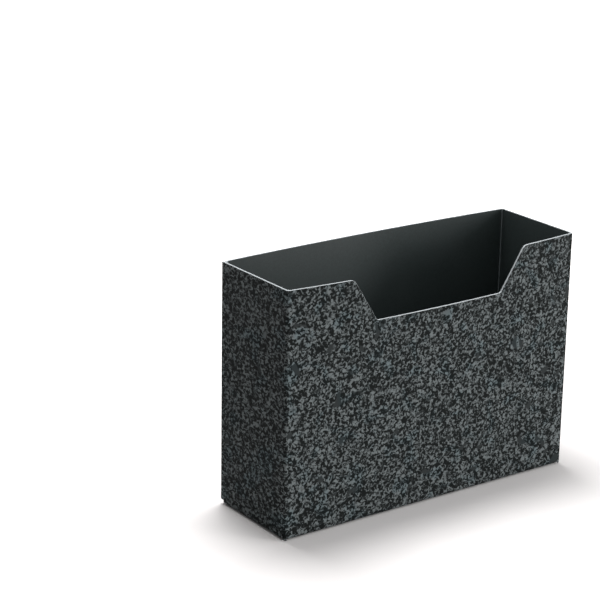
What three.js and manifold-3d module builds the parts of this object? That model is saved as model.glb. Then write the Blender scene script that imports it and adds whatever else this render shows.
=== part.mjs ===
// Open file box folded from one sheet of solid board, with a finger cut-out in its front panel.
// Lengths are in millimetres. X runs along the front, Y points to the back and Z points up.
import * as THREE from "three";
import { mergeVertices } from "three/addons/utils/BufferGeometryUtils.js";
import Module from "manifold-3d";

const wasm = await Module();
wasm.setup();

// Outer size of the folded box
const WIDTH = 230;
const DEPTH = 71.5;
const HEIGHT = 163.5;
const BOARD = 1.2;

// Folds: outer radius of the upright and bottom folds, and the bead that creasing raises inside
const UPRIGHT_RADIUS = 2;
const BOTTOM_RADIUS = 3;
const BEAD = 1.1;
const ARC_STEPS = 10;

// Free top edges: how far the front and back panels bow out, and how fast that dies down below
const FRONT_BOW = 6.5;
const BACK_BOW = 3;
const BOW_FADE = 1.2;
const BOW_COLUMNS = 40;
const BOW_LEVELS = 12;

// Cut-out in the front panel
const NOTCH_TOP_HALF = 68.4;
const NOTCH_BOTTOM_HALF = 50;
const NOTCH_FLOOR = 134.5;
const NOTCH_TOP_RADIUS = 5;
const NOTCH_BOTTOM_RADIUS = 2.5;
const NOTCH_ARC_STEPS = 8;

// Glued seam: a flap folded from the back panel and glued inside the left end panel
const SEAM_WIDTH = 18;
const SEAM_ROOT = 1;
const SEAM_TOP_DROP = 1.5;
const SEAM_TAPER = 6;
const SEAM_FOOT = 8;
const RAW_EDGE_SETBACK = 0.3;
const GLUE_FILL_STEPS = 2;

// Bottom flaps: reach from the outer face of their own wall, step on to the flap below, mitre gap
// and the slots beside the upright folds, which are wider on the ends
const FRONT_FLAP = 58;
const BACK_FLAP = 41;
const END_FLAP = 36;
const STEP_UP_START = 0.6;
const STEP_UP_LENGTH = 8.4;
const STEP_UP_STEPS = 8;
const MITRE_GAP = 0.8;
const LONG_SLOT = 0.4;
const END_SLOT = 1.6;
const CORNER_FOOT = 0.5;
const GLUE_PRESS = 0.05;

// Room past a face that a cut runs to, and past an edge that a flap's plan leaves alone
const CUT_ROOM = 6;
const PLAN_ROOM = 1;

// Points closer than this are one point
const WELD = 1e-4;

const HALF_WIDTH = WIDTH / 2;
const HALF_DEPTH = DEPTH / 2;
const STRAIGHT_X = HALF_WIDTH - UPRIGHT_RADIUS;
const STRAIGHT_Y = HALF_DEPTH - UPRIGHT_RADIUS;
const SEAM_FOLD_X = BOARD - STRAIGHT_X;
const RAW_EDGE_Y = HALF_DEPTH - RAW_EDGE_SETBACK;
const QUARTER = Math.PI / 2;

// Points of an upright fold's outer face, swept a quarter turn about its centre
function foldOuter(cx, cy, start) {
  const points = [];
  for (let i = 0; i <= ARC_STEPS; i += 1) {
    const angle = start + (QUARTER * i) / ARC_STEPS;
    points.push([cx + UPRIGHT_RADIUS * Math.cos(angle), cy + UPRIGHT_RADIUS * Math.sin(angle)]);
  }
  return points;
}

// Points of the fold's inner face, where the crease pushes a bead in towards the middle
function foldInner(cx, cy, start) {
  const points = [];
  for (let i = 0; i <= ARC_STEPS; i += 1) {
    const turn = i / ARC_STEPS;
    const angle = start + QUARTER * turn;
    const bulge = BEAD * Math.sin(Math.PI * turn) ** 2;
    const x = (UPRIGHT_RADIUS - BOARD) * Math.cos(angle) - bulge * Math.cos(start + QUARTER / 2);
    const y = (UPRIGHT_RADIUS - BOARD) * Math.sin(angle) - bulge * Math.sin(start + QUARTER / 2);
    points.push([cx + x, cy + y]);
  }
  return points;
}

// Points strictly between two ends of a straight run
function between(x0, x1, y, count) {
  const points = [];
  for (let i = 1; i < count; i += 1) {
    points.push([x0 + ((x1 - x0) * i) / count, y]);
  }
  return points;
}

function shapeOf(points) {
  return new THREE.Shape(points.map(([x, y]) => new THREE.Vector2(x, y)));
}

// A closed three.js geometry as a solid for joining and cutting
function solid(geometry) {
  const bare = geometry.clone();
  bare.deleteAttribute("normal");
  bare.deleteAttribute("uv");
  const merged = mergeVertices(bare, WELD);
  const mesh = new wasm.Mesh({
    numProp: 3,
    vertProperties: new Float32Array(merged.getAttribute("position").array),
    triVerts: new Uint32Array(merged.getIndex().array),
  });
  return new wasm.Manifold(mesh);
}

// Extrusion of a plan outline between two heights
function upright(shape, low, high, steps = 1) {
  const geometry = new THREE.ExtrudeGeometry(shape, {
    depth: high - low,
    steps,
    bevelEnabled: false,
  });
  geometry.translate(0, 0, low);
  return geometry;
}

// Centres of the four upright folds; the back left one sits a board inwards, behind the left end
const FOLDS = [
  { cx: -STRAIGHT_X, cy: -STRAIGHT_Y, start: 2 * QUARTER },
  { cx: STRAIGHT_X, cy: -STRAIGHT_Y, start: 3 * QUARTER },
  { cx: STRAIGHT_X, cy: STRAIGHT_Y, start: 0 },
  { cx: SEAM_FOLD_X, cy: STRAIGHT_Y, start: QUARTER },
];

// The four walls in plan: outer face, and the inner face with the seam's flap
function wallGeometry() {
  const outer = [[-HALF_WIDTH, RAW_EDGE_Y]];
  const inner = [];
  const runs = [
    { from: -STRAIGHT_X, to: STRAIGHT_X, side: -1 },
    null,
    { from: STRAIGHT_X, to: SEAM_FOLD_X, side: 1 },
  ];
  FOLDS.forEach((fold, i) => {
    outer.push(...foldOuter(fold.cx, fold.cy, fold.start));
    inner.push(...foldInner(fold.cx, fold.cy, fold.start));
    const run = runs[i];
    if (run) {
      outer.push(...between(run.from, run.to, run.side * HALF_DEPTH, BOW_COLUMNS));
      inner.push(...between(run.from, run.to, run.side * (HALF_DEPTH - BOARD), BOW_COLUMNS));
    }
  });
  outer.length -= GLUE_FILL_STEPS;
  outer.push([BOARD - HALF_WIDTH, outer[outer.length - 1][1]]);
  outer.push([BOARD - HALF_WIDTH, RAW_EDGE_Y]);
  inner.push([2 * BOARD - HALF_WIDTH, STRAIGHT_Y - SEAM_WIDTH]);
  inner.push([BOARD - HALF_WIDTH, STRAIGHT_Y - SEAM_WIDTH]);
  const plan = shapeOf(outer);
  plan.holes.push(new THREE.Path(inner.map(([x, y]) => new THREE.Vector2(x, y))));
  const geometry = upright(plan, BOTTOM_RADIUS, HEIGHT, BOW_LEVELS);
  bowPanels(geometry);
  return geometry;
}

// Share of a panel's bow at a height and a place between its two folds
function bowShare(x, from, to, z) {
  const across = 1 - ((2 * x - from - to) / (to - from)) ** 2;
  const up = (z - BOTTOM_RADIUS) / (HEIGHT - BOTTOM_RADIUS);
  return Math.max(across, 0) * Math.max(up, 0) ** BOW_FADE;
}

// Moves the points of the front and back panels' faces outwards by their bows
function bowPanels(geometry) {
  const place = geometry.getAttribute("position");
  const face = HALF_DEPTH - BOARD - WELD;
  for (let i = 0; i < place.count; i += 1) {
    const x = place.getX(i);
    const y = place.getY(i);
    const z = place.getZ(i);
    if (y < -face && Math.abs(x) < STRAIGHT_X) {
      place.setY(i, y - FRONT_BOW * bowShare(x, -STRAIGHT_X, STRAIGHT_X, z));
    }
    if (y > face && x < STRAIGHT_X && x > SEAM_FOLD_X) {
      place.setY(i, y + BACK_BOW * bowShare(x, SEAM_FOLD_X, STRAIGHT_X, z));
    }
  }
}

// Arc that rounds the corner b between the straight runs a to b and b to c
function rounded(a, b, c, radius, steps) {
  const from = new THREE.Vector2(a[0] - b[0], a[1] - b[1]).normalize();
  const to = new THREE.Vector2(c[0] - b[0], c[1] - b[1]).normalize();
  const half = Math.acos(from.dot(to)) / 2;
  const corner = new THREE.Vector2(b[0], b[1]);
  const middle = from.clone().add(to).normalize();
  const centre = corner.clone().addScaledVector(middle, radius / Math.sin(half));
  const first = corner.clone().addScaledVector(from, radius / Math.tan(half)).sub(centre);
  const last = corner.clone().addScaledVector(to, radius / Math.tan(half)).sub(centre);
  const sweep = Math.atan2(first.cross(last), first.dot(last));
  const points = [];
  for (let i = 0; i <= steps; i += 1) {
    const ray = first.clone().rotateAround(new THREE.Vector2(), (sweep * i) / steps);
    points.push([centre.x + ray.x, centre.y + ray.y]);
  }
  return points;
}

// The cut-out: an outline in X and Z with slanting sides and round corners, run through the panel
function notchSolid() {
  const rim = [-HALF_WIDTH, HEIGHT];
  const top = [-NOTCH_TOP_HALF, HEIGHT];
  const low = [-NOTCH_BOTTOM_HALF, NOTCH_FLOOR];
  const middle = [0, NOTCH_FLOOR];
  const left = [
    ...rounded(rim, top, low, NOTCH_TOP_RADIUS, NOTCH_ARC_STEPS),
    ...rounded(top, low, middle, NOTCH_BOTTOM_RADIUS, NOTCH_ARC_STEPS),
  ];
  const right = left.map(([x, z]) => [-x, z]).reverse();
  const above = HEIGHT + CUT_ROOM;
  const outline = [[left[0][0], above], ...left, ...right, [-left[0][0], above]];
  const depth = FRONT_BOW + 2 * CUT_ROOM;
  const geometry = new THREE.ExtrudeGeometry(shapeOf(outline), { depth, bevelEnabled: false });
  geometry.rotateX(QUARTER);
  geometry.translate(0, BOARD + CUT_ROOM - HALF_DEPTH, 0);
  return solid(geometry);
}

// Wedges that trim the seam's flap at its top and foot, leaving the end panel whole
function seamTrims() {
  const near = STRAIGHT_Y - SEAM_ROOT;
  const far = STRAIGHT_Y - SEAM_WIDTH - CUT_ROOM;
  const slope = (SEAM_TAPER * (near - far)) / SEAM_WIDTH;
  const top = HEIGHT - SEAM_TOP_DROP;
  const foot = SEAM_FOOT;
  const outlines = [
    [[near, top], [near, top + CUT_ROOM], [far, top + CUT_ROOM], [far, top - slope]],
    [[near, foot], [far, foot + slope], [far, 0], [near, 0]],
  ];
  return outlines.map((outline) => {
    const depth = BOARD + BOARD;
    const geometry = new THREE.ExtrudeGeometry(shapeOf(outline), { depth, bevelEnabled: false });
    geometry.rotateX(QUARTER);
    geometry.rotateZ(QUARTER);
    geometry.translate(BOARD - HALF_WIDTH, 0, 0);
    return solid(geometry);
  });
}

// Lower end of an upright fold, between the slots that free the bottom flaps
function cornerSolid({ cx, cy, start }) {
  const outline = [...foldOuter(cx, cy, start), ...foldInner(cx, cy, start).reverse()];
  return solid(upright(shapeOf(outline), CORNER_FOOT, BOTTOM_RADIUS));
}

// Section of a bottom flap: u runs inwards from the wall's outer face and z up
function flapSection(reach, rise) {
  const under = [];
  const over = [];
  for (let i = 0; i <= ARC_STEPS; i += 1) {
    const turn = i / ARC_STEPS;
    const angle = QUARTER * turn;
    const inside = BOTTOM_RADIUS - BOARD - BEAD * Math.sin(Math.PI * turn) ** 2;
    const c = Math.cos(angle);
    const s = Math.sin(angle);
    under.push([BOTTOM_RADIUS * (1 - c), BOTTOM_RADIUS * (1 - s)]);
    over.push([BOTTOM_RADIUS - inside * c, BOTTOM_RADIUS - inside * s]);
  }
  const start = BOTTOM_RADIUS + STEP_UP_START;
  for (let i = 0; rise > 0 && i <= STEP_UP_STEPS; i += 1) {
    const part = i / STEP_UP_STEPS;
    const u = start + STEP_UP_LENGTH * part;
    const z = (rise * (1 - Math.cos(Math.PI * part))) / 2;
    under.push([u, z]);
    over.push([u, z + BOARD]);
  }
  under.push([reach, rise]);
  over.push([reach, rise + BOARD]);
  return [...under, ...over.reverse()];
}

// Flap along X or Y: its section run along the wall's foot, then trimmed to its plan
function flapSolid(section, from, to, place, plan) {
  const depth = to - from;
  const geometry = new THREE.ExtrudeGeometry(shapeOf(section), { depth, bevelEnabled: false });
  geometry.rotateX(QUARTER);
  geometry.translate(0, depth / 2, 0);
  geometry.rotateZ(place.turn);
  geometry.translate(place.x, place.y, 0);
  return solid(geometry).intersect(solid(upright(shapeOf(plan), -CUT_ROOM, CUT_ROOM * 2)));
}

// The four bottom flaps, mitred to one another and glued one on the next
function bottomFlaps() {
  const rise = BOARD - GLUE_PRESS;
  const reachX = STRAIGHT_X - LONG_SLOT;
  const reachY = STRAIGHT_Y - END_SLOT;
  const cornerX = HALF_WIDTH - BOTTOM_RADIUS;
  const cornerY = HALF_DEPTH - BOTTOM_RADIUS;
  const step = STEP_UP_START + STEP_UP_LENGTH + 2 * MITRE_GAP;
  const frontHalf = cornerX - step;
  const frontEdge = FRONT_FLAP - HALF_DEPTH;
  const backEdge = HALF_DEPTH - BACK_FLAP;
  const backHalf = reachX - (cornerY - backEdge);
  const endTip = HALF_WIDTH - END_FLAP;
  const endBack = cornerY - (cornerX - endTip) - 2 * MITRE_GAP;
  const front = [
    [-reachX, -HALF_DEPTH - PLAN_ROOM],
    [reachX, -HALF_DEPTH - PLAN_ROOM],
    [reachX, -cornerY],
    [frontHalf, -cornerY + step],
    [frontHalf, frontEdge + PLAN_ROOM],
    [-frontHalf, frontEdge + PLAN_ROOM],
    [-frontHalf, -cornerY + step],
    [-reachX, -cornerY],
  ];
  const back = [
    [reachX, HALF_DEPTH + PLAN_ROOM],
    [-reachX, HALF_DEPTH + PLAN_ROOM],
    [-reachX, cornerY],
    [-backHalf, backEdge],
    [-backHalf, backEdge - PLAN_ROOM],
    [backHalf, backEdge - PLAN_ROOM],
    [backHalf, backEdge],
    [reachX, cornerY],
  ];
  const end = [
    [HALF_WIDTH + PLAN_ROOM, -reachY],
    [HALF_WIDTH + PLAN_ROOM, reachY],
    [cornerX, reachY - MITRE_GAP],
    [endTip, endBack],
    [endTip - PLAN_ROOM, endBack],
    [endTip - PLAN_ROOM, -reachY + step],
    [cornerX - step, -reachY + step],
    [cornerX, -reachY + MITRE_GAP],
  ];
  const otherEnd = end.map(([x, y]) => [-x, y]).reverse();
  const long = flapSection(FRONT_FLAP, 0);
  const middle = flapSection(BACK_FLAP, rise);
  const short = flapSection(END_FLAP, rise);
  return [
    flapSolid(long, -reachX, reachX, { turn: QUARTER, x: 0, y: -HALF_DEPTH }, front),
    flapSolid(middle, -reachX, reachX, { turn: -QUARTER, x: 0, y: HALF_DEPTH }, back),
    flapSolid(short, -reachY, reachY, { turn: 2 * QUARTER, x: HALF_WIDTH, y: 0 }, end),
    flapSolid(short, -reachY, reachY, { turn: 0, x: -HALF_WIDTH, y: 0 }, otherEnd),
  ];
}

// The whole sheet, folded and glued
function foldedBoard() {
  let sheet = solid(wallGeometry());
  for (const cut of [notchSolid(), ...seamTrims()]) {
    sheet = sheet.subtract(cut);
  }
  for (const piece of [...FOLDS.map(cornerSolid), ...bottomFlaps()]) {
    sheet = sheet.add(piece);
  }
  const mesh = sheet.getMesh();
  const geometry = new THREE.BufferGeometry();
  geometry.setAttribute("position", new THREE.BufferAttribute(mesh.vertProperties, 3));
  geometry.setIndex(new THREE.BufferAttribute(mesh.triVerts, 1));
  return geometry;
}

// The origin lies on the ground, under the middle of the overall size
function standOnOrigin(geometry) {
  geometry.computeBoundingBox();
  const { min, max } = geometry.boundingBox;
  geometry.translate(-(min.x + max.x) / 2, -(min.y + max.y) / 2, -min.z);
  return geometry;
}

const board = new THREE.MeshStandardMaterial({ color: 0x474c4d, roughness: 0.62, metalness: 0 });

const fileBox = new THREE.Group();
const sheet = new THREE.Mesh(standOnOrigin(foldedBoard()), board);
sheet.name = "folded_board";
fileBox.add(sheet);

export default fileBox;
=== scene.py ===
"""Open file box folded from one sheet of marbled board, dressed for a plain studio picture."""

import math

import bmesh
import bpy
from mathutils import Matrix, Vector, noise


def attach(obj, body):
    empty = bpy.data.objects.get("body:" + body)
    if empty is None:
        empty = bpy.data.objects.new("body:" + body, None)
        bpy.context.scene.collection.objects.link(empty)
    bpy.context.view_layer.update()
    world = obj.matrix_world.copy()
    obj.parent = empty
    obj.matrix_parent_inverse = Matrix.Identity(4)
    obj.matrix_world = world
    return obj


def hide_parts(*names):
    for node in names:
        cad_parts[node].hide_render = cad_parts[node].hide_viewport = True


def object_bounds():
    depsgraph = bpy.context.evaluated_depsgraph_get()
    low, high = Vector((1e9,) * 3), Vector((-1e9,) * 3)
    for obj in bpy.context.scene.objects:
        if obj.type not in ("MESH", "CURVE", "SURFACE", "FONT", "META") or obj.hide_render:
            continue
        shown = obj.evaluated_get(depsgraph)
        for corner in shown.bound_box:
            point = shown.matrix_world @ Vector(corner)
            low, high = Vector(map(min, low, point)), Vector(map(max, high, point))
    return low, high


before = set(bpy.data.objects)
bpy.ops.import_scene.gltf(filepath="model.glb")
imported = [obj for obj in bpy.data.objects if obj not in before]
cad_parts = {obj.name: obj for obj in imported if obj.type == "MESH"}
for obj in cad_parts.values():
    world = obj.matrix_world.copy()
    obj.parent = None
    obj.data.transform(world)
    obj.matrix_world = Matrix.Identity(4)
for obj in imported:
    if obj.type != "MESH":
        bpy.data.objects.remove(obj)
CAD_LOW, CAD_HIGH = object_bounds()

bl_info = {
    "name": "Folded file box",
    "version": (1, 0, 0),
    "blender": (4, 5, 0),
    "location": "3D View > Sidebar > File Box",
    "description": "Builds an open file box folded from marbled board, with its studio stage",
    "category": "Add Mesh",
}

MM = 0.001
QUARTER = math.pi / 2

# Walls: rows of points, closer together near the rim, and pitch of the columns, closer together
# below the slants of the cut-out
WALL_ROWS = 30
RIM_CROWD = 0.85
PITCH = 4 * MM
SLANT_PITCH = PITCH / 3

# Steps round the cut-out's upper and lower corners, an upright fold and a bottom fold
NOTCH_STEPS = 10
NOTCH_LOW_STEPS = 8
FOLD_STEPS = 12
BOTTOM_FOLD_STEPS = 10

# Rows below a wall at an upright fold, and along a bottom flap's step and its level part
FOOT_ROWS = 3
STEP_ROWS = 8
LEVEL_ROWS = 8

# Places this near to each other, or alike in this many digits, count as one place
NEAR = 0.001 * MM
DIGITS = 7

# Keeps a divisor from zero
TINY = 1e-9

# The board's unevenness: height over which it grows in above the foot, and waves to a metre and
# share of its broad and its fine wave
RIPPLE_START = 15 * MM
BROAD_WAVES = 22
BROAD_SHARE = 0.6
FINE_WAVES = 55
FINE_SHARE = 0.4
FINE_SHIFT = Vector((4, 1, 7))

# Cut edges stand a little proud, between the first and the last of these shares of the thickness
CREST = 0.12 * MM
CREST_SHARES = (0.09, 0.36, 0.64, 0.91)

# Seam's flap: where its trims begin, their heights and their slope
SEAM_ROOT = 1 * MM
SEAM_FOOT = 8 * MM
SEAM_TOP_DROP = 1.5 * MM
SEAM_SLOPE = 1 / 3

# Bottom flaps: where an upper one's step begins beyond its fold, how long it is, and how far
# glued flaps are pressed into each other
STEP_START = 0.6 * MM
STEP_LENGTH = 8.4 * MM
GLUE_PRESS = 0.05 * MM

# Material slots of the board, in the order in which its materials are added
PRINTED = 0
PLAIN = 1
CUT = 2

# Name of the mesh attribute that marks how much painted highlight the ridge of an inner crease gets
HIGHLIGHT_ATTRIBUTE = "painted_crease_highlight"

# The print runs coarser along the depth than along the width
GRAIN = (1.0, 0.74, 1.0)

# Print's noises to a metre: flecks, their drift from dense to sparse, spots and cool clouds
FLECKS = 530.0
DRIFT = 185.0
SPOTS = 110.0
CLOUDS = 75.0

# How far the drift shifts the flecks, and the print's level on its dark blots and pale plates
DRIFT_SHIFT = 0.22
BLOT_LEVEL = 0.15
PLATE_LEVEL = 0.7

# Fibres to a metre on each face and at the cut edges, their depth, and patches of the mottle
PRINT_FIBRES = 1200.0
INSIDE_FIBRES = 800.0
EDGE_FIBRES = 2600.0
FACE_DEPTH = 0.06 * MM
EDGE_DEPTH = 0.1 * MM
MOTTLE = 38.0

# Share of its colour that the inside and a cut edge keep between their fibres, and the floor
# where it only throws light back
INSIDE_DEEP = 0.4
EDGE_DEEP = 0.72
FLOOR_DIM = 0.34

# Floor: half its side, how far it lies below the box, and where it turns plain white
FLOOR_REACH = 6.0
FLOOR_DROP = 0.2 * MM
WHITE_START = 0.25
WHITE_FULL = 0.6

# Lamps: name, place, diameter and watts
LAMPS = (
    ("top", (0.02, 0.20, 0.95), 0.4, 8.0),
    ("front", (1.4, -1.8, 0.55), 0.9, 16.0),
)

# Light from all round: how it grows to the right, to the front and upwards, and its level
SKY_LEAN = (0.42, -0.16, 0.34)
SKY_LEVEL = 0.28

# Camera: lens and sensor in millimetres, degrees of its look, and its place
LENS = 121.667
SENSOR = 36
AZIMUTH = -35.716
ELEVATION = 18.253
ROLL = 0.966
VIEWPOINT = (-0.7787, -0.97037, 0.53646)


class FileBoxSizes(bpy.types.PropertyGroup):
    """Sizes of the folded box"""

    width: bpy.props.FloatProperty(
        name="Width", description="Outer width along the front", default=230 * MM, unit="LENGTH")
    depth: bpy.props.FloatProperty(
        name="Depth", description="Outer depth at the bottom", default=71.5 * MM, unit="LENGTH")
    height: bpy.props.FloatProperty(
        name="Height", description="Height of the rim", default=163.5 * MM, unit="LENGTH")
    board: bpy.props.FloatProperty(
        name="Board", description="Thickness of the board", default=1.2 * MM, unit="LENGTH")
    upright_radius: bpy.props.FloatProperty(
        name="Upright fold radius", description="Outer radius of the upright folds",
        default=2 * MM, unit="LENGTH")
    bottom_radius: bpy.props.FloatProperty(
        name="Bottom fold radius", description="Outer radius of the folds at the foot",
        default=3 * MM, unit="LENGTH")
    bead: bpy.props.FloatProperty(
        name="Crease bead", description="Height of the bead that creasing raises inside a fold",
        default=1.1 * MM, unit="LENGTH")
    front_bow: bpy.props.FloatProperty(
        name="Front bow", description="How far the front panel's top stands forward",
        default=6.5 * MM, unit="LENGTH")
    back_bow: bpy.props.FloatProperty(
        name="Back bow", description="How far the back panel's top stands backwards",
        default=3 * MM, unit="LENGTH")
    bow_fade: bpy.props.FloatProperty(
        name="Bow fade", description="How fast the bow dies down towards the foot", default=1.2)
    notch_top: bpy.props.FloatProperty(
        name="Cut-out top", description="Half the cut-out's width at the rim",
        default=68.4 * MM, unit="LENGTH")
    notch_bottom: bpy.props.FloatProperty(
        name="Cut-out bottom", description="Half the cut-out's width at its floor",
        default=50 * MM, unit="LENGTH")
    notch_floor: bpy.props.FloatProperty(
        name="Cut-out floor", description="Height of the cut-out's floor",
        default=134.5 * MM, unit="LENGTH")
    notch_top_radius: bpy.props.FloatProperty(
        name="Cut-out top radius", description="Radius of the corners at the rim",
        default=5 * MM, unit="LENGTH")
    notch_bottom_radius: bpy.props.FloatProperty(
        name="Cut-out bottom radius", description="Radius of the corners at the floor",
        default=2.5 * MM, unit="LENGTH")
    seam_width: bpy.props.FloatProperty(
        name="Seam flap", description="Width of the glued flap behind the left end",
        default=18 * MM, unit="LENGTH")
    raw_edge: bpy.props.FloatProperty(
        name="Raw edge", description="How far the left end stops short of the back",
        default=0.3 * MM, unit="LENGTH")
    front_flap: bpy.props.FloatProperty(
        name="Front flap", description="Reach of the front bottom flap",
        default=58 * MM, unit="LENGTH")
    back_flap: bpy.props.FloatProperty(
        name="Back flap", description="Reach of the back bottom flap",
        default=41 * MM, unit="LENGTH")
    end_flap: bpy.props.FloatProperty(
        name="End flap", description="Reach of the two end bottom flaps",
        default=36 * MM, unit="LENGTH")
    long_slot: bpy.props.FloatProperty(
        name="Long slot", description="Gap from an upright fold to a long bottom flap",
        default=0.4 * MM, unit="LENGTH")
    end_slot: bpy.props.FloatProperty(
        name="End slot", description="Gap from an upright fold to an end's bottom flap",
        default=1.6 * MM, unit="LENGTH")
    corner_foot: bpy.props.FloatProperty(
        name="Corner foot", description="Height of the upright folds above the ground",
        default=0.5 * MM, unit="LENGTH")
    mitre: bpy.props.FloatProperty(
        name="Mitre gap", description="Gap between neighbouring bottom flaps",
        default=0.8 * MM, unit="LENGTH")
    ripple: bpy.props.FloatProperty(
        name="Ripple", description="Depth of the board's slight unevenness",
        default=0.1 * MM, unit="LENGTH")


def colour(name, description, value):
    return bpy.props.FloatVectorProperty(
        name=name, description=description, default=value, size=4, min=0, max=1, subtype="COLOR")


class FileBoxColours(bpy.types.PropertyGroup):
    """Colours of the print, the plain inside and the cut edges"""

    ground: colour("Print ground", "Dark ground of the marbled print", (0.0158, 0.0202, 0.0208, 1))
    warm: colour("Warm ground", "Ground away from the cool patches", (0.0184, 0.0208, 0.0206, 1))
    fleck: colour("Print flecks", "Grey flecks of the marbled print", (0.254, 0.284, 0.289, 1))
    cloud: colour("Print clouds", "Cool patches among the flecks", (0.230, 0.282, 0.297, 1))
    inside: colour("Inside", "Paler grain of the charcoal inner face", (0.0460, 0.0620, 0.0620, 1))
    # Pale colour painted on the ridges of the inner creases: a painted highlight where their beads
    # catch the light
    crease: colour("Highlighted crease", "Lit ridge of a crease", (0.33, 0.38, 0.39, 1))
    edge: colour("Cut edge", "Bare core of the board at its cut edges", (0.48, 0.51, 0.53, 1))
    floor: colour("Floor", "Floor and backdrop", (1.0, 0.972, 0.966, 1))


# The sheet: its faces, walls and bottom flaps


class Sheet:
    """Points of a board's outer and inner face, number for number, and the quads between them"""

    def __init__(self):
        self.outer = []
        self.inner = []
        self.crease_highlight = []
        self.quads = []

    def point(self, outer, inner, crease_highlight=0.0):
        """Adds a point of both faces and gives its number"""
        self.outer.append(Vector(outer))
        self.inner.append(Vector(inner))
        self.crease_highlight.append(crease_highlight)
        return len(self.outer) - 1

    def grid(self, rows):
        """Joins rows of point numbers, each row as long as the next"""
        for low, high in zip(rows, rows[1:]):
            for i in range(len(low) - 1):
                quad = (low[i], low[i + 1], high[i + 1], high[i])
                if len(set(quad)) > 2:
                    self.quads.append(quad)

    def rings(self):
        """Each quad's point numbers, without any that it holds twice"""
        return [list(dict.fromkeys(quad)) for quad in self.quads]

    def free_edges(self):
        """Edges that one quad alone uses, with that quad's centre"""
        uses = {}
        for quad, ring in zip(self.quads, self.rings()):
            centre = sum((self.outer[i] for i in quad), Vector()) / len(quad)
            for i, a in enumerate(ring):
                b = ring[(i + 1) % len(ring)]
                uses.setdefault((min(a, b), max(a, b)), []).append((a, b, centre))
        return [sides[0] for sides in uses.values() if len(sides) == 1]

    def outward(self, edges):
        """Direction that leads off the board at each point of its free edges"""
        away = {}
        for a, b, centre in edges:
            along = (self.outer[b] - self.outer[a]).normalized()
            out = (self.outer[a] + self.outer[b]) / 2 - centre
            out -= along * out.dot(along)
            for i in (a, b):
                away[i] = away.get(i, Vector()) + out.normalized()
        return {i: out.normalized() for i, out in away.items()}


class Box:
    """Shape of the folded board, worked out from the sizes"""

    def __init__(self, sizes):
        self.s = sizes
        self.half_x = sizes.width / 2
        self.half_y = sizes.depth / 2
        self.run_x = self.half_x - sizes.upright_radius
        self.run_y = self.half_y - sizes.upright_radius
        self.seam_x = sizes.board - self.run_x
        # From the middle of the foot to that of the frame, whose depth holds both bows
        self.shift_y = CAD_HIGH.y - self.half_y - sizes.back_bow
        self.notch = self.notch_outline()

    def bow(self, kind, x, z):
        """How far the front or back panel stands out at a place between its folds"""
        if kind not in ("front", "back"):
            return 0
        depth = self.s.front_bow if kind == "front" else self.s.back_bow
        left = -self.run_x if kind == "front" else self.seam_x
        across = 1 - ((2 * x - left - self.run_x) / (self.run_x - left)) ** 2
        up = max((z - self.s.bottom_radius) / (self.s.height - self.s.bottom_radius), 0)
        return depth * max(across, 0) * up ** self.s.bow_fade

    def notch_outline(self):
        """Left half of the cut-out as points from the rim down to its floor"""
        s = self.s
        top = Vector((-s.notch_top, s.height))
        low = Vector((-s.notch_bottom, s.notch_floor))
        rim = Vector((-self.half_x, s.height))
        points = rounded(rim, top, low, s.notch_top_radius, NOTCH_STEPS)
        floor = Vector((0, s.notch_floor))
        points += rounded(top, low, floor, s.notch_bottom_radius, NOTCH_LOW_STEPS)
        return points

    def rim(self, x):
        """Height of the front panel's edge above a place along the front"""
        outline = self.notch
        x = -abs(x)
        if x <= outline[0].x:
            return self.s.height
        if x >= outline[-1].x:
            return self.s.notch_floor
        for a, b in zip(outline, outline[1:]):
            if a.x <= x <= b.x:
                return a.y + (b.y - a.y) * (x - a.x) / max(b.x - a.x, TINY)
        return self.s.notch_floor

    def flap_section(self, reach, rise):
        """Outer and inner points of a bottom flap in distance from the wall's face and height"""
        s = self.s
        hub = Vector((s.bottom_radius, s.bottom_radius))
        points = []
        for i in range(BOTTOM_FOLD_STEPS + 1):
            turn = i / BOTTOM_FOLD_STEPS
            ray = Vector((math.cos(QUARTER * turn), math.sin(QUARTER * turn)))
            inner = s.bottom_radius - s.board - s.bead * math.sin(math.pi * turn) ** 2
            points.append((hub - ray * s.bottom_radius, hub - ray * inner))
        start = s.bottom_radius + STEP_START
        for i in range(STEP_ROWS + 1):
            part = i / STEP_ROWS
            z = rise * (1 - math.cos(math.pi * part)) / 2
            u = start + STEP_LENGTH * part
            points.append((Vector((u, z)), Vector((u, z + s.board))))
        first = start + STEP_LENGTH
        for i in range(1, LEVEL_ROWS + 1):
            u = first + (reach - first) * i / LEVEL_ROWS
            points.append((Vector((u, rise)), Vector((u, rise + s.board))))
        return points


def rounded(a, b, c, radius, steps):
    """Points of the arc that rounds the corner b of the run a, b, c"""
    back, on = (a - b).normalized(), (c - b).normalized()
    half = back.angle(on) / 2
    centre = b + (back + on).normalized() * (radius / math.sin(half))
    first = b + back * (radius / math.tan(half)) - centre
    last = b + on * (radius / math.tan(half)) - centre
    sweep = math.atan2(first.x * last.y - first.y * last.x, first.dot(last))
    return [centre + Matrix.Rotation(sweep * i / steps, 2) @ first for i in range(steps + 1)]


def spread(low, high, pitch):
    """Places at even steps of about the pitch, from low to high"""
    count = max(1, round((high - low) / pitch))
    return [low + (high - low) * i / count for i in range(count + 1)]


def ripple(place, depth):
    """How far the board lies inside its true plane at a place"""
    broad = noise.noise(place * BROAD_WAVES)
    fine = noise.noise(place * FINE_WAVES + FINE_SHIFT)
    wave = broad * BROAD_SHARE + fine * FINE_SHARE
    return depth * (0.5 - 0.5 * wave)


class Column:
    """One upright line of the walls: its two faces in plan, its ends and its panel"""

    def __init__(self, kind, outer, inner, normal, foot, top, crease_highlight=0.0):
        self.kind = kind
        self.outer = outer
        self.inner = inner
        self.normal = normal
        self.foot = foot
        self.top = top
        self.crease_highlight = crease_highlight


def slotted(run, slot):
    """Places along a run, with one at each end and one at each slot beside its folds"""
    return sorted({0, run, slot, run - slot, *spread(slot, run - slot, PITCH)})


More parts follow.
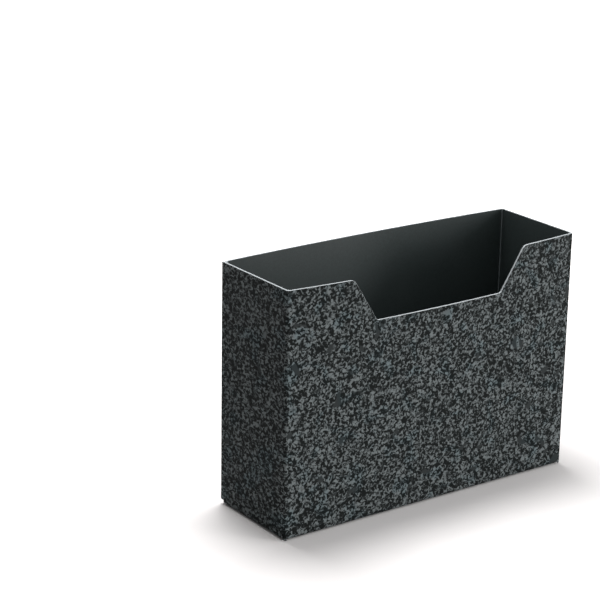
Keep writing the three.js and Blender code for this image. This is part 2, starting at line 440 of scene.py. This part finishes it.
def panel(box, kind, start, end, places):
    """Columns of a panel that runs from start to end in plan, at the given places"""
    s = box.s
    along = (end - start).normalized()
    normal = Vector((along.y, -along.x))
    for t in places:
        outer = start + along * t
        top = box.rim(outer.x) if kind == "front" else s.height
        yield Column(kind, outer, outer - normal * s.board, normal, s.bottom_radius, top)


def fold(box, x, y, start):
    """Columns of an upright fold's quarter turn, without the two that its panels share"""
    s = box.s
    centre = Vector((x, y))
    middle = Vector((math.cos(start + QUARTER / 2), math.sin(start + QUARTER / 2)))
    for i in range(1, FOLD_STEPS):
        turn = i / FOLD_STEPS
        ray = Vector((math.cos(start + QUARTER * turn), math.sin(start + QUARTER * turn)))
        # The ridge shapes the crease bead and also sets how much painted highlight the inner crease
        # gets
        ridge = math.sin(math.pi * turn) ** 2
        outer = centre + ray * s.upright_radius
        inner = centre + ray * (s.upright_radius - s.board) - middle * s.bead * ridge
        yield Column("fold", outer, inner, ray, s.bottom_radius, s.height, crease_highlight=ridge)


def seam_flap(box):
    """Columns of the glued flap behind the left end, trimmed at its top and foot"""
    s = box.s
    corner = Vector((-box.half_x + s.board, box.run_y))
    left = Vector((-1, 0))
    for t in (0, SEAM_ROOT):
        outer = corner - Vector((0, t))
        yield Column("seam", outer, outer - left * s.board, left, s.bottom_radius, s.height)
    for t in spread(SEAM_ROOT + CREST, s.seam_width, PITCH):
        outer = corner - Vector((0, t))
        taper = (t - SEAM_ROOT) * SEAM_SLOPE
        foot, top = SEAM_FOOT + taper, s.height - SEAM_TOP_DROP - taper
        yield Column("seam", outer, outer - left * s.board, left, foot, top)


def front_places(box):
    """Places along the front panel, with every point of the cut-out's outline"""
    sx, slot = box.run_x, box.s.long_slot
    outline = [p.x for p in box.notch]
    half = {-sx, -sx + slot, *spread(-sx + slot, outline[0], PITCH), *outline,
            *spread(outline[NOTCH_STEPS], outline[NOTCH_STEPS + 1], SLANT_PITCH),
            *spread(outline[-1], 0, PITCH)}
    half = {round(x, DIGITS) for x in half}
    return [x + sx for x in sorted({*half, *[-x for x in half]})]


def wall_columns(box):
    """Every column round the box, from the left end's raw edge to the end of the seam's flap"""
    s = box.s
    sx, sy, hx, hy = box.run_x, box.run_y, box.half_x, box.half_y
    end_slots = {sy - s.end_slot, s.end_slot - sy, sy, -sy}
    edge = hy - s.raw_edge
    left = {edge - y for y in (*end_slots, edge, *spread(s.end_slot - sy, sy - s.end_slot, PITCH))}
    foot = sx - s.long_slot
    back = {sx - x for x in (sx, *spread(-foot, foot, PITCH), box.seam_x) if x >= box.seam_x}
    return [
        *panel(box, "left", Vector((-hx, edge)), Vector((-hx, -sy)), sorted(left)),
        *fold(box, -sx, -sy, 2 * QUARTER),
        *panel(box, "front", Vector((-sx, -hy)), Vector((sx, -hy)), front_places(box)),
        *fold(box, sx, -sy, 3 * QUARTER),
        *panel(box, "right", Vector((hx, -sy)), Vector((hx, sy)), slotted(2 * sy, s.end_slot)),
        *fold(box, sx, sy, 0),
        *panel(box, "back", Vector((sx, hy)), Vector((box.seam_x, hy)), sorted(back)),
        *fold(box, box.seam_x, sy, QUARTER),
        *seam_flap(box),
    ]


def build_walls(box, sheet):
    """The walls, upright folds and seam's flap as one strip, and each panel's points at its foot"""
    s = box.s
    columns = wall_columns(box)
    rows = [[] for _ in range(WALL_ROWS + 1)]
    for column in columns:
        edge = column.top - CREST
        for i, row in enumerate(rows):
            share = 1 - (1 - i / WALL_ROWS) ** (1 / RIM_CROWD)
            z = column.foot + (edge - column.foot) * share
            place = Vector((column.outer.x, column.outer.y, z))
            dip = ripple(place, s.ripple) * min(1, (z - column.foot) / RIPPLE_START)
            out = column.normal * (box.bow(column.kind, column.outer.x, z) - dip)
            a, b = column.outer + out, column.inner + out
            row.append(sheet.point((a.x, a.y, z), (b.x, b.y, z), column.crease_highlight))
    sheet.grid(rows)
    for first, last in fold_spans(columns):
        corner = columns[first:last + 1]
        feet = []
        for i in range(FOOT_ROWS):
            z = s.corner_foot + (s.bottom_radius - s.corner_foot) * i / FOOT_ROWS
            feet.append([sheet.point((*c.outer, z), (*c.inner, z)) for c in corner])
        sheet.grid([*feet, rows[0][first:last + 1]])
    return {kind: [(rows[0][i], c.outer) for i, c in enumerate(columns) if c.kind == kind]
            for kind in ("left", "front", "right", "back")}


def fold_spans(columns):
    """First and last column of each upright fold, with the two that its panels share"""
    spans = []
    for i, column in enumerate(columns):
        if column.kind == "fold" and columns[i - 1].kind != "fold":
            first = i - 1
        if column.kind == "fold" and columns[i + 1].kind != "fold":
            spans.append((first, i + 1))
    return spans


def build_flap(box, sheet, foot, centre, inward, half, reach, rise, limits):
    """One bottom flap, from the foot of its wall to its mitred edges"""
    along = Vector((-inward.y, inward.x))
    places = [(i, along.dot(outer)) for i, outer in foot]
    places = [(i, place) for i, place in places if abs(place) <= half + NEAR]
    rows = [[i for i, _ in places]]
    for outer, inner in box.flap_section(reach, rise)[1:]:
        low, high = limits(outer.x)
        row = []
        for _, place in places:
            t = low + (high - low) * (place + half) / (2 * half)
            a = centre + inward * outer.x + along * t
            b = centre + inward * inner.x + along * t
            row.append(sheet.point((a.x, a.y, outer.y), (b.x, b.y, inner.y)))
        rows.append(row)
    sheet.grid(rows)


def build_flaps(box, sheet, feet):
    """The four bottom flaps, mitred to one another and glued one on the next"""
    s = box.s
    rise = s.board - GLUE_PRESS
    wide = box.run_x - s.long_slot
    deep = box.run_y - s.end_slot
    step = STEP_START + STEP_LENGTH + 2 * s.mitre
    radius = s.bottom_radius
    end_run = s.end_flap - radius
    narrow = box.half_x - radius - step

    def front(u):
        """Ends of a row of the front flap, drawn in to clear the steps of the end flaps"""
        half = wide - (wide - narrow) * min(1, max(0, (u - radius) / step))
        return -half, half

    def back(u):
        """Ends of a row of the back flap, mitred at 45 degrees"""
        half = wide - max(0, u - radius)
        return -half, half

    def end(back_first):
        """Ends of the rows of an end flap whose first end is the back one or the front one"""
        def limits(u):
            if u <= radius:
                return -deep, deep
            inner = u - radius
            last = box.half_y - radius - end_run - 2 * s.mitre
            to_back = deep - s.mitre + (last - deep + s.mitre) * inner / end_run
            to_front = deep - s.mitre - (step - s.mitre) * min(1, inner / step)
            return (-to_back, to_front) if back_first else (-to_front, to_back)
        return limits

    hx, hy = box.half_x, box.half_y
    plan = (
        ("front", (0, -hy), (0, 1), wide, s.front_flap, 0, front),
        ("back", (0, hy), (0, -1), wide, s.back_flap, rise, back),
        ("right", (hx, 0), (-1, 0), deep, s.end_flap, rise, end(True)),
        ("left", (-hx, 0), (1, 0), deep, s.end_flap, rise, end(False)),
    )
    for kind, centre, inward, half, reach, level, limits in plan:
        centre, inward = Vector(centre), Vector(inward)
        build_flap(box, sheet, feet[kind], centre, inward, half, reach, level, limits)


def add_face(mesh, verts, slot):
    face = mesh.faces.new(verts)
    face.material_index = slot
    face.smooth = True


def board_mesh(sheet, shift_y):
    """Mesh of the sheet: printed outer face, plain inner face and slightly rounded cut edges"""
    mesh = bmesh.new()
    crease_highlight = mesh.verts.layers.float.new(HIGHLIGHT_ATTRIBUTE)
    shift = Vector((0, shift_y, 0))
    outer = [mesh.verts.new(p + shift) for p in sheet.outer]
    inner = [mesh.verts.new(p + shift) for p in sheet.inner]
    # The painted highlight amounts go on the inner face's points only
    for vert, amount in zip(inner, sheet.crease_highlight):
        vert[crease_highlight] = amount
    for ring in sheet.rings():
        add_face(mesh, [outer[i] for i in ring], PRINTED)
        add_face(mesh, [inner[i] for i in reversed(ring)], PLAIN)
    edges = sheet.free_edges()
    crest = {}
    for i, out in sheet.outward(edges).items():
        first, last = sheet.outer[i], sheet.inner[i]
        crest[i] = [mesh.verts.new(first.lerp(last, share) + out * CREST + shift)
                    for share in CREST_SHARES]
    for a, b, _ in edges:
        left = [outer[a], *crest[a], inner[a]]
        right = [outer[b], *crest[b], inner[b]]
        for i in range(len(left) - 1):
            add_face(mesh, (left[i], left[i + 1], right[i + 1], right[i]), CUT)
        # Sharp, so that the cut edge doesn't shade the faces beside it
        for skin in (outer, inner):
            mesh.edges.get((skin[a], skin[b])).smooth = False
    mesh.normal_update()
    bmesh.ops.recalc_face_normals(mesh, faces=mesh.faces)
    if mesh.calc_volume(signed=True) < 0:
        bmesh.ops.reverse_faces(mesh, faces=mesh.faces)
    return mesh


# The materials


def node(tree, kind, place, **values):
    """Adds a node at a place in the editor, with its settings"""
    made = tree.nodes.new(kind)
    made.location = place
    for key, value in values.items():
        setattr(made, key, value)
    return made


def feed(tree, socket, value):
    """Links a socket to another node's output, or sets its value"""
    if isinstance(value, bpy.types.NodeSocket):
        tree.links.new(value, socket)
    else:
        socket.default_value = value


def math_node(tree, place, operation, a, b, clamp=False):
    made = node(tree, "ShaderNodeMath", place, operation=operation, use_clamp=clamp)
    feed(tree, made.inputs[0], a)
    feed(tree, made.inputs[1], b)
    return made.outputs[0]


def ramp(tree, place, value, start, end):
    """Smooth step of a value, from 0 at start to 1 at end"""
    made = node(tree, "ShaderNodeMapRange", place, interpolation_type="SMOOTHSTEP")
    tree.links.new(value, made.inputs["Value"])
    made.inputs["From Min"].default_value = start
    made.inputs["From Max"].default_value = end
    return made.outputs["Result"]


def noise_node(tree, place, vector, scale, detail, roughness, distortion):
    made = node(tree, "ShaderNodeTexNoise", place)
    tree.links.new(vector, made.inputs["Vector"])
    feed(tree, made.inputs["Scale"], scale)
    made.inputs["Detail"].default_value = detail
    made.inputs["Roughness"].default_value = roughness
    made.inputs["Distortion"].default_value = distortion
    return made.outputs["Fac"]


def mix(tree, place, kind, factor, a, b):
    """Blend of two colours or numbers, from a at factor 0 to b at factor 1"""
    made = node(tree, "ShaderNodeMix", place, data_type=kind)
    for name, value in (("Factor", factor), ("A", a), ("B", b)):
        feed(tree, next(x for x in made.inputs if x.name == name and x.enabled), value)
    return next(x for x in made.outputs if x.enabled)


def mix_colour(tree, place, factor, a, b):
    return mix(tree, place, "RGBA", factor, a, b)


def mix_value(tree, place, factor, a, b):
    return mix(tree, place, "FLOAT", factor, a, b)


def group(name, inputs, outputs):
    """A node group with named sockets; inputs hold name, kind and default"""
    tree = bpy.data.node_groups.new(name, "ShaderNodeTree")
    for label, kind, value in inputs:
        socket = tree.interface.new_socket(label, in_out="INPUT", socket_type=kind)
        if value is not None:
            socket.default_value = value
    for label, kind in outputs:
        tree.interface.new_socket(label, in_out="OUTPUT", socket_type=kind)
    return tree, tree.nodes.new("NodeGroupInput"), tree.nodes.new("NodeGroupOutput")


def paper_grain_group():
    """Fibre of paper: its height, and a soft mottle in larger patches, both from 0 to 1"""
    tree, into, out = group(
        "Paper grain",
        [("Vector", "NodeSocketVector", None), ("Scale", "NodeSocketFloat", PRINT_FIBRES)],
        [("Height", "NodeSocketFloat"), ("Mottle", "NodeSocketFloat")])
    vector, scale = into.outputs["Vector"], into.outputs["Scale"]
    fibre = noise_node(tree, (0, 200), vector, scale, detail=4, roughness=0.65, distortion=0.6)
    patch = noise_node(tree, (0, -100), vector, MOTTLE, detail=3, roughness=0.55, distortion=0.3)
    mottle = ramp(tree, (200, -100), patch, start=0.3, end=0.7)
    tree.links.new(fibre, out.inputs["Height"])
    tree.links.new(mottle, out.inputs["Mottle"])
    return tree


def marble_group():
    """Marbled print: level of its grey from dark ground to pale fleck, and where it turns cool"""
    tree, into, out = group(
        "Marbled print",
        [("Vector", "NodeSocketVector", None), ("Scale", "NodeSocketFloat", FLECKS)],
        [("Flecks", "NodeSocketFloat"), ("Cool", "NodeSocketFloat")])
    scale = into.outputs["Scale"]
    grain = node(tree, "ShaderNodeVectorMath", (-200, 0), operation="MULTIPLY")
    tree.links.new(into.outputs["Vector"], grain.inputs[0])
    grain.inputs[1].default_value = GRAIN
    vector = grain.outputs["Vector"]
    worms = noise_node(tree, (0, 300), vector, scale, detail=1.2, roughness=0.5, distortion=0.8)
    drift = noise_node(tree, (0, 0), vector, DRIFT, detail=1, roughness=0.5, distortion=0.5)
    spots = noise_node(tree, (0, -150), vector, SPOTS, detail=1, roughness=0.5, distortion=0.6)
    clouds = noise_node(tree, (0, -400), vector, CLOUDS, detail=1, roughness=0.5, distortion=0.6)
    shift = math_node(tree, (200, 100), "MULTIPLY", drift, DRIFT_SHIFT)
    drifted = math_node(tree, (400, 200), "ADD", worms, shift)
    flecks = ramp(tree, (600, 300), drifted, start=0.55, end=0.79)
    blots = ramp(tree, (200, -50), spots, start=0.34, end=0.28)
    plates = ramp(tree, (200, -200), spots, start=0.735, end=0.795)
    blotted = mix_value(tree, (800, 200), blots, flecks, BLOT_LEVEL)
    level = mix_value(tree, (1000, 100), plates, blotted, PLATE_LEVEL)
    cool = ramp(tree, (400, -400), clouds, start=0.50, end=0.70)
    tree.links.new(level, out.inputs["Flecks"])
    tree.links.new(cool, out.inputs["Cool"])
    return tree


def surface(name):
    """A new material, its nodes, its shader and the object's own coordinates"""
    material = bpy.data.materials.new(name)
    material.use_nodes = True
    tree = material.node_tree
    shader = tree.nodes["Principled BSDF"]
    shader.location = (1200, 0)
    tree.nodes["Material Output"].location = (1500, 0)
    coords = node(tree, "ShaderNodeTexCoord", (-400, 0)).outputs["Object"]
    return material, tree, shader, coords


def place_group(tree, group_tree, place, coords, scale):
    made = node(tree, "ShaderNodeGroup", place, node_tree=group_tree)
    tree.links.new(coords, made.inputs["Vector"])
    made.inputs["Scale"].default_value = scale
    return made


def dimmed(tone, share):
    """A share of a colour, opaque"""
    return [c * share for c in tone[:3]] + [1]


def bump(tree, shader, paper, strength, depth):
    """Bumps of the paper's fibre on a shader"""
    made = node(tree, "ShaderNodeBump", (1000, -300))
    made.inputs["Strength"].default_value = strength
    made.inputs["Distance"].default_value = depth
    tree.links.new(paper.outputs["Height"], made.inputs["Height"])
    tree.links.new(made.outputs["Normal"], shader.inputs["Normal"])


def mottled_roughness(tree, shader, paper, least, swing):
    """Roughness that the paper's mottle raises from its least value by a swing"""
    more = math_node(tree, (600, -100), "MULTIPLY", paper.outputs["Mottle"], swing)
    tree.links.new(math_node(tree, (800, -100), "ADD", more, least), shader.inputs["Roughness"])


def printed_material(colours, grain, marble):
    """Marbled print of grey flecks on a dark ground, cooler in clouds"""
    material, tree, shader, coords = surface("Printed face")
    speckle = place_group(tree, marble, (-100, 200), coords, FLECKS)
    paper = place_group(tree, grain, (-100, -200), coords, PRINT_FIBRES)
    fleck = mix_colour(tree, (300, 200), speckle.outputs["Cool"], colours.fleck, colours.cloud)
    ground = mix_colour(tree, (300, 0), speckle.outputs["Cool"], colours.warm, colours.ground)
    tint = mix_colour(tree, (600, 200), speckle.outputs["Flecks"], ground, fleck)
    tree.links.new(tint, shader.inputs["Base Color"])
    mottled_roughness(tree, shader, paper, least=0.42, swing=0.10)
    shader.inputs["Specular IOR Level"].default_value = 0.01
    bump(tree, shader, paper, strength=0.25, depth=FACE_DEPTH)
    return material


def inside_material(colours, grain):
    """Charcoal paper, with a painted highlight along the ridges of the inner creases"""
    material, tree, shader, coords = surface("Plain charcoal inside")
    paper = place_group(tree, grain, (-100, 0), coords, INSIDE_FIBRES)
    deep = dimmed(colours.inside, INSIDE_DEEP)
    tint = mix_colour(tree, (600, 200), paper.outputs["Height"], deep, colours.inside)
    crease = node(tree, "ShaderNodeAttribute", (400, 400), attribute_name=HIGHLIGHT_ATTRIBUTE).outputs["Fac"]
    # Painted highlight: the ridges of the inner creases turn pale by the attribute's amount
    painted_crease = mix_colour(tree, (800, 300), crease, tint, colours.crease)
    tree.links.new(painted_crease, shader.inputs["Base Color"])
    mottled_roughness(tree, shader, paper, least=0.46, swing=0.08)
    shader.inputs["Specular IOR Level"].default_value = 0.45
    bump(tree, shader, paper, strength=0.3, depth=FACE_DEPTH)
    return material


def edge_material(colours, grain):
    """Bare grey core, darker between its fibres"""
    material, tree, shader, coords = surface("Bare cut edge")
    paper = place_group(tree, grain, (-100, 0), coords, EDGE_FIBRES)
    deep = dimmed(colours.edge, EDGE_DEEP)
    tint = mix_colour(tree, (600, 200), paper.outputs["Height"], deep, colours.edge)
    tree.links.new(tint, shader.inputs["Base Color"])
    shader.inputs["Roughness"].default_value = 0.9
    shader.inputs["Specular IOR Level"].default_value = 0.2
    bump(tree, shader, paper, strength=0.5, depth=EDGE_DEPTH)
    return material


def seen_rays(tree, x, y):
    """1 for camera, glossy and transmission rays, which see the white ground, and 0 for others"""
    path = node(tree, "ShaderNodeLightPath", (x, y))
    seen = math_node(tree, (x + 200, y), "ADD", path.outputs["Is Camera Ray"],
                     path.outputs["Is Glossy Ray"])
    return math_node(tree, (x + 400, y), "ADD", seen, path.outputs["Is Transmission Ray"],
                     clamp=True)


def stage_material(colours):
    """White floor that keeps the box's shadow and turns plain white further out"""
    material, tree, shader, coords = surface("Studio floor")
    seen = seen_rays(tree, 200, 300)
    plain = dimmed(colours.floor, FLOOR_DIM)
    tint = mix_colour(tree, (900, 300), seen, plain, colours.floor)
    tree.links.new(tint, shader.inputs["Base Color"])
    reach = node(tree, "ShaderNodeVectorMath", (200, -200), operation="LENGTH")
    tree.links.new(coords, reach.inputs[0])
    far = ramp(tree, (400, -200), reach.outputs["Value"], WHITE_START, WHITE_FULL)
    glow = math_node(tree, (600, -100), "MULTIPLY", far, seen)
    black = (0, 0, 0, 1)
    shine = mix_colour(tree, (900, -100), glow, black, colours.floor)
    tree.links.new(shine, shader.inputs["Emission Color"])
    shader.inputs["Emission Strength"].default_value = 1.0
    shader.inputs["Roughness"].default_value = 0.9
    shader.inputs["Specular IOR Level"].default_value = 0.0
    return material


# The steps that build the box and its stage


class OBJECT_OT_folded_board(bpy.types.Operator):
    """Builds the folded and glued board in place of the plain solid"""

    bl_idname = "file_box.folded_board"
    bl_label = "Folded Board"
    bl_options = {"REGISTER", "UNDO"}

    def execute(self, context):
        sizes = context.scene.file_box_sizes
        colours = context.scene.file_box_colours
        box = Box(sizes)
        sheet = Sheet()
        build_flaps(box, sheet, build_walls(box, sheet))
        mesh = board_mesh(sheet, box.shift_y)
        if not mesh.faces:
            raise RuntimeError("the board has no faces")
        data = bpy.data.meshes.new("marbled_board")
        mesh.to_mesh(data)
        mesh.free()
        piece = bpy.data.objects.new("marbled_board", data)
        context.scene.collection.objects.link(piece)
        grain, marble = paper_grain_group(), marble_group()
        data.materials.append(printed_material(colours, grain, marble))
        data.materials.append(inside_material(colours, grain))
        data.materials.append(edge_material(colours, grain))
        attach(piece, "root")
        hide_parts("folded_board")
        return {"FINISHED"}


class SCENE_OT_studio_stage(bpy.types.Operator):
    """Lays the pale floor and sets the lamps, the world and the camera"""

    bl_idname = "file_box.studio_stage"
    bl_label = "Studio Stage"
    bl_options = {"REGISTER", "UNDO"}

    def execute(self, context):
        scene = context.scene
        data = bpy.data.meshes.new("studio_floor")
        corners = ((-1, -1), (1, -1), (1, 1), (-1, 1))
        points = [(x * FLOOR_REACH, y * FLOOR_REACH, 0) for x, y in corners]
        data.from_pydata(points, [], [(0, 1, 2, 3)])
        floor = bpy.data.objects.new("studio_floor", data)
        floor.location.z = -FLOOR_DROP
        scene.collection.objects.link(floor)
        data.materials.append(stage_material(scene.file_box_colours))
        for name, place, size, power in LAMPS:
            add_lamp(scene, name, place, size, power)
        light_world(scene)
        add_camera(scene)
        scene.view_settings.view_transform = "Standard"
        return {"FINISHED"}


def add_lamp(scene, name, place, size, power):
    """A round lamp that faces the middle of the floor"""
    lamp = bpy.data.lights.new(name, "AREA")
    lamp.shape = "DISK"
    lamp.size = size
    lamp.energy = power
    made = bpy.data.objects.new(name, lamp)
    made.location = place
    made.rotation_euler = (-Vector(place)).to_track_quat("-Z", "Y").to_euler()
    scene.collection.objects.link(made)


def light_world(scene):
    """White background, and soft light that is stronger from the right, the front and above"""
    world = bpy.data.worlds.new("studio_world")
    world.use_nodes = True
    tree = world.node_tree
    back = tree.nodes["Background"]
    seen = seen_rays(tree, -800, 300)
    ray = node(tree, "ShaderNodeTexCoord", (-800, 0)).outputs["Generated"]
    lean = node(tree, "ShaderNodeVectorMath", (-600, 0), operation="DOT_PRODUCT")
    tree.links.new(ray, lean.inputs[0])
    lean.inputs[1].default_value = SKY_LEAN
    soft = math_node(tree, (-400, 0), "ADD", lean.outputs["Value"], SKY_LEVEL, clamp=True)
    tree.links.new(mix_value(tree, (-200, 200), seen, soft, 1.0), back.inputs["Strength"])
    back.inputs["Color"].default_value = (1, 1, 1, 1)
    scene.world = world


def add_camera(scene):
    """Camera at the viewpoint, turned by its azimuth, elevation and roll"""
    data = bpy.data.cameras.new("view")
    data.sensor_width = SENSOR
    data.lens = LENS
    camera = bpy.data.objects.new("view", data)
    azimuth, elevation, roll = (math.radians(angle) for angle in (AZIMUTH, ELEVATION, ROLL))
    back = Vector((math.sin(azimuth) * math.cos(elevation),
                   -math.cos(azimuth) * math.cos(elevation), math.sin(elevation)))
    side = Vector((0, 0, 1)).cross(back).normalized()
    up = back.cross(side)
    right = side * math.cos(roll) + up * math.sin(roll)
    over = up * math.cos(roll) - side * math.sin(roll)
    turn = Matrix((right, over, back)).transposed().to_4x4()
    camera.matrix_world = Matrix.Translation(VIEWPOINT) @ turn
    scene.collection.objects.link(camera)
    scene.camera = camera


class VIEW3D_PT_file_box(bpy.types.Panel):
    """Sizes, colours and steps of the file box"""

    bl_label = "File Box"
    bl_space_type = "VIEW_3D"
    bl_region_type = "UI"
    bl_category = "File Box"

    def draw(self, context):
        layout = self.layout
        for group_of in (context.scene.file_box_sizes, context.scene.file_box_colours):
            column = layout.column(align=True)
            for key in group_of.__annotations__:
                column.prop(group_of, key)
        layout.operator(OBJECT_OT_folded_board.bl_idname)
        layout.operator(SCENE_OT_studio_stage.bl_idname)


CLASSES = (
    FileBoxSizes,
    FileBoxColours,
    OBJECT_OT_folded_board,
    SCENE_OT_studio_stage,
    VIEW3D_PT_file_box,
)


def register():
    for cls in CLASSES:
        bpy.utils.register_class(cls)
    bpy.types.Scene.file_box_sizes = bpy.props.PointerProperty(type=FileBoxSizes)
    bpy.types.Scene.file_box_colours = bpy.props.PointerProperty(type=FileBoxColours)


def unregister():
    del bpy.types.Scene.file_box_colours
    del bpy.types.Scene.file_box_sizes
    for cls in reversed(CLASSES):
        bpy.utils.unregister_class(cls)


def main():
    register()
    bpy.ops.file_box.folded_board()
    bpy.ops.file_box.studio_stage()


if __name__ == "__main__":
    main()
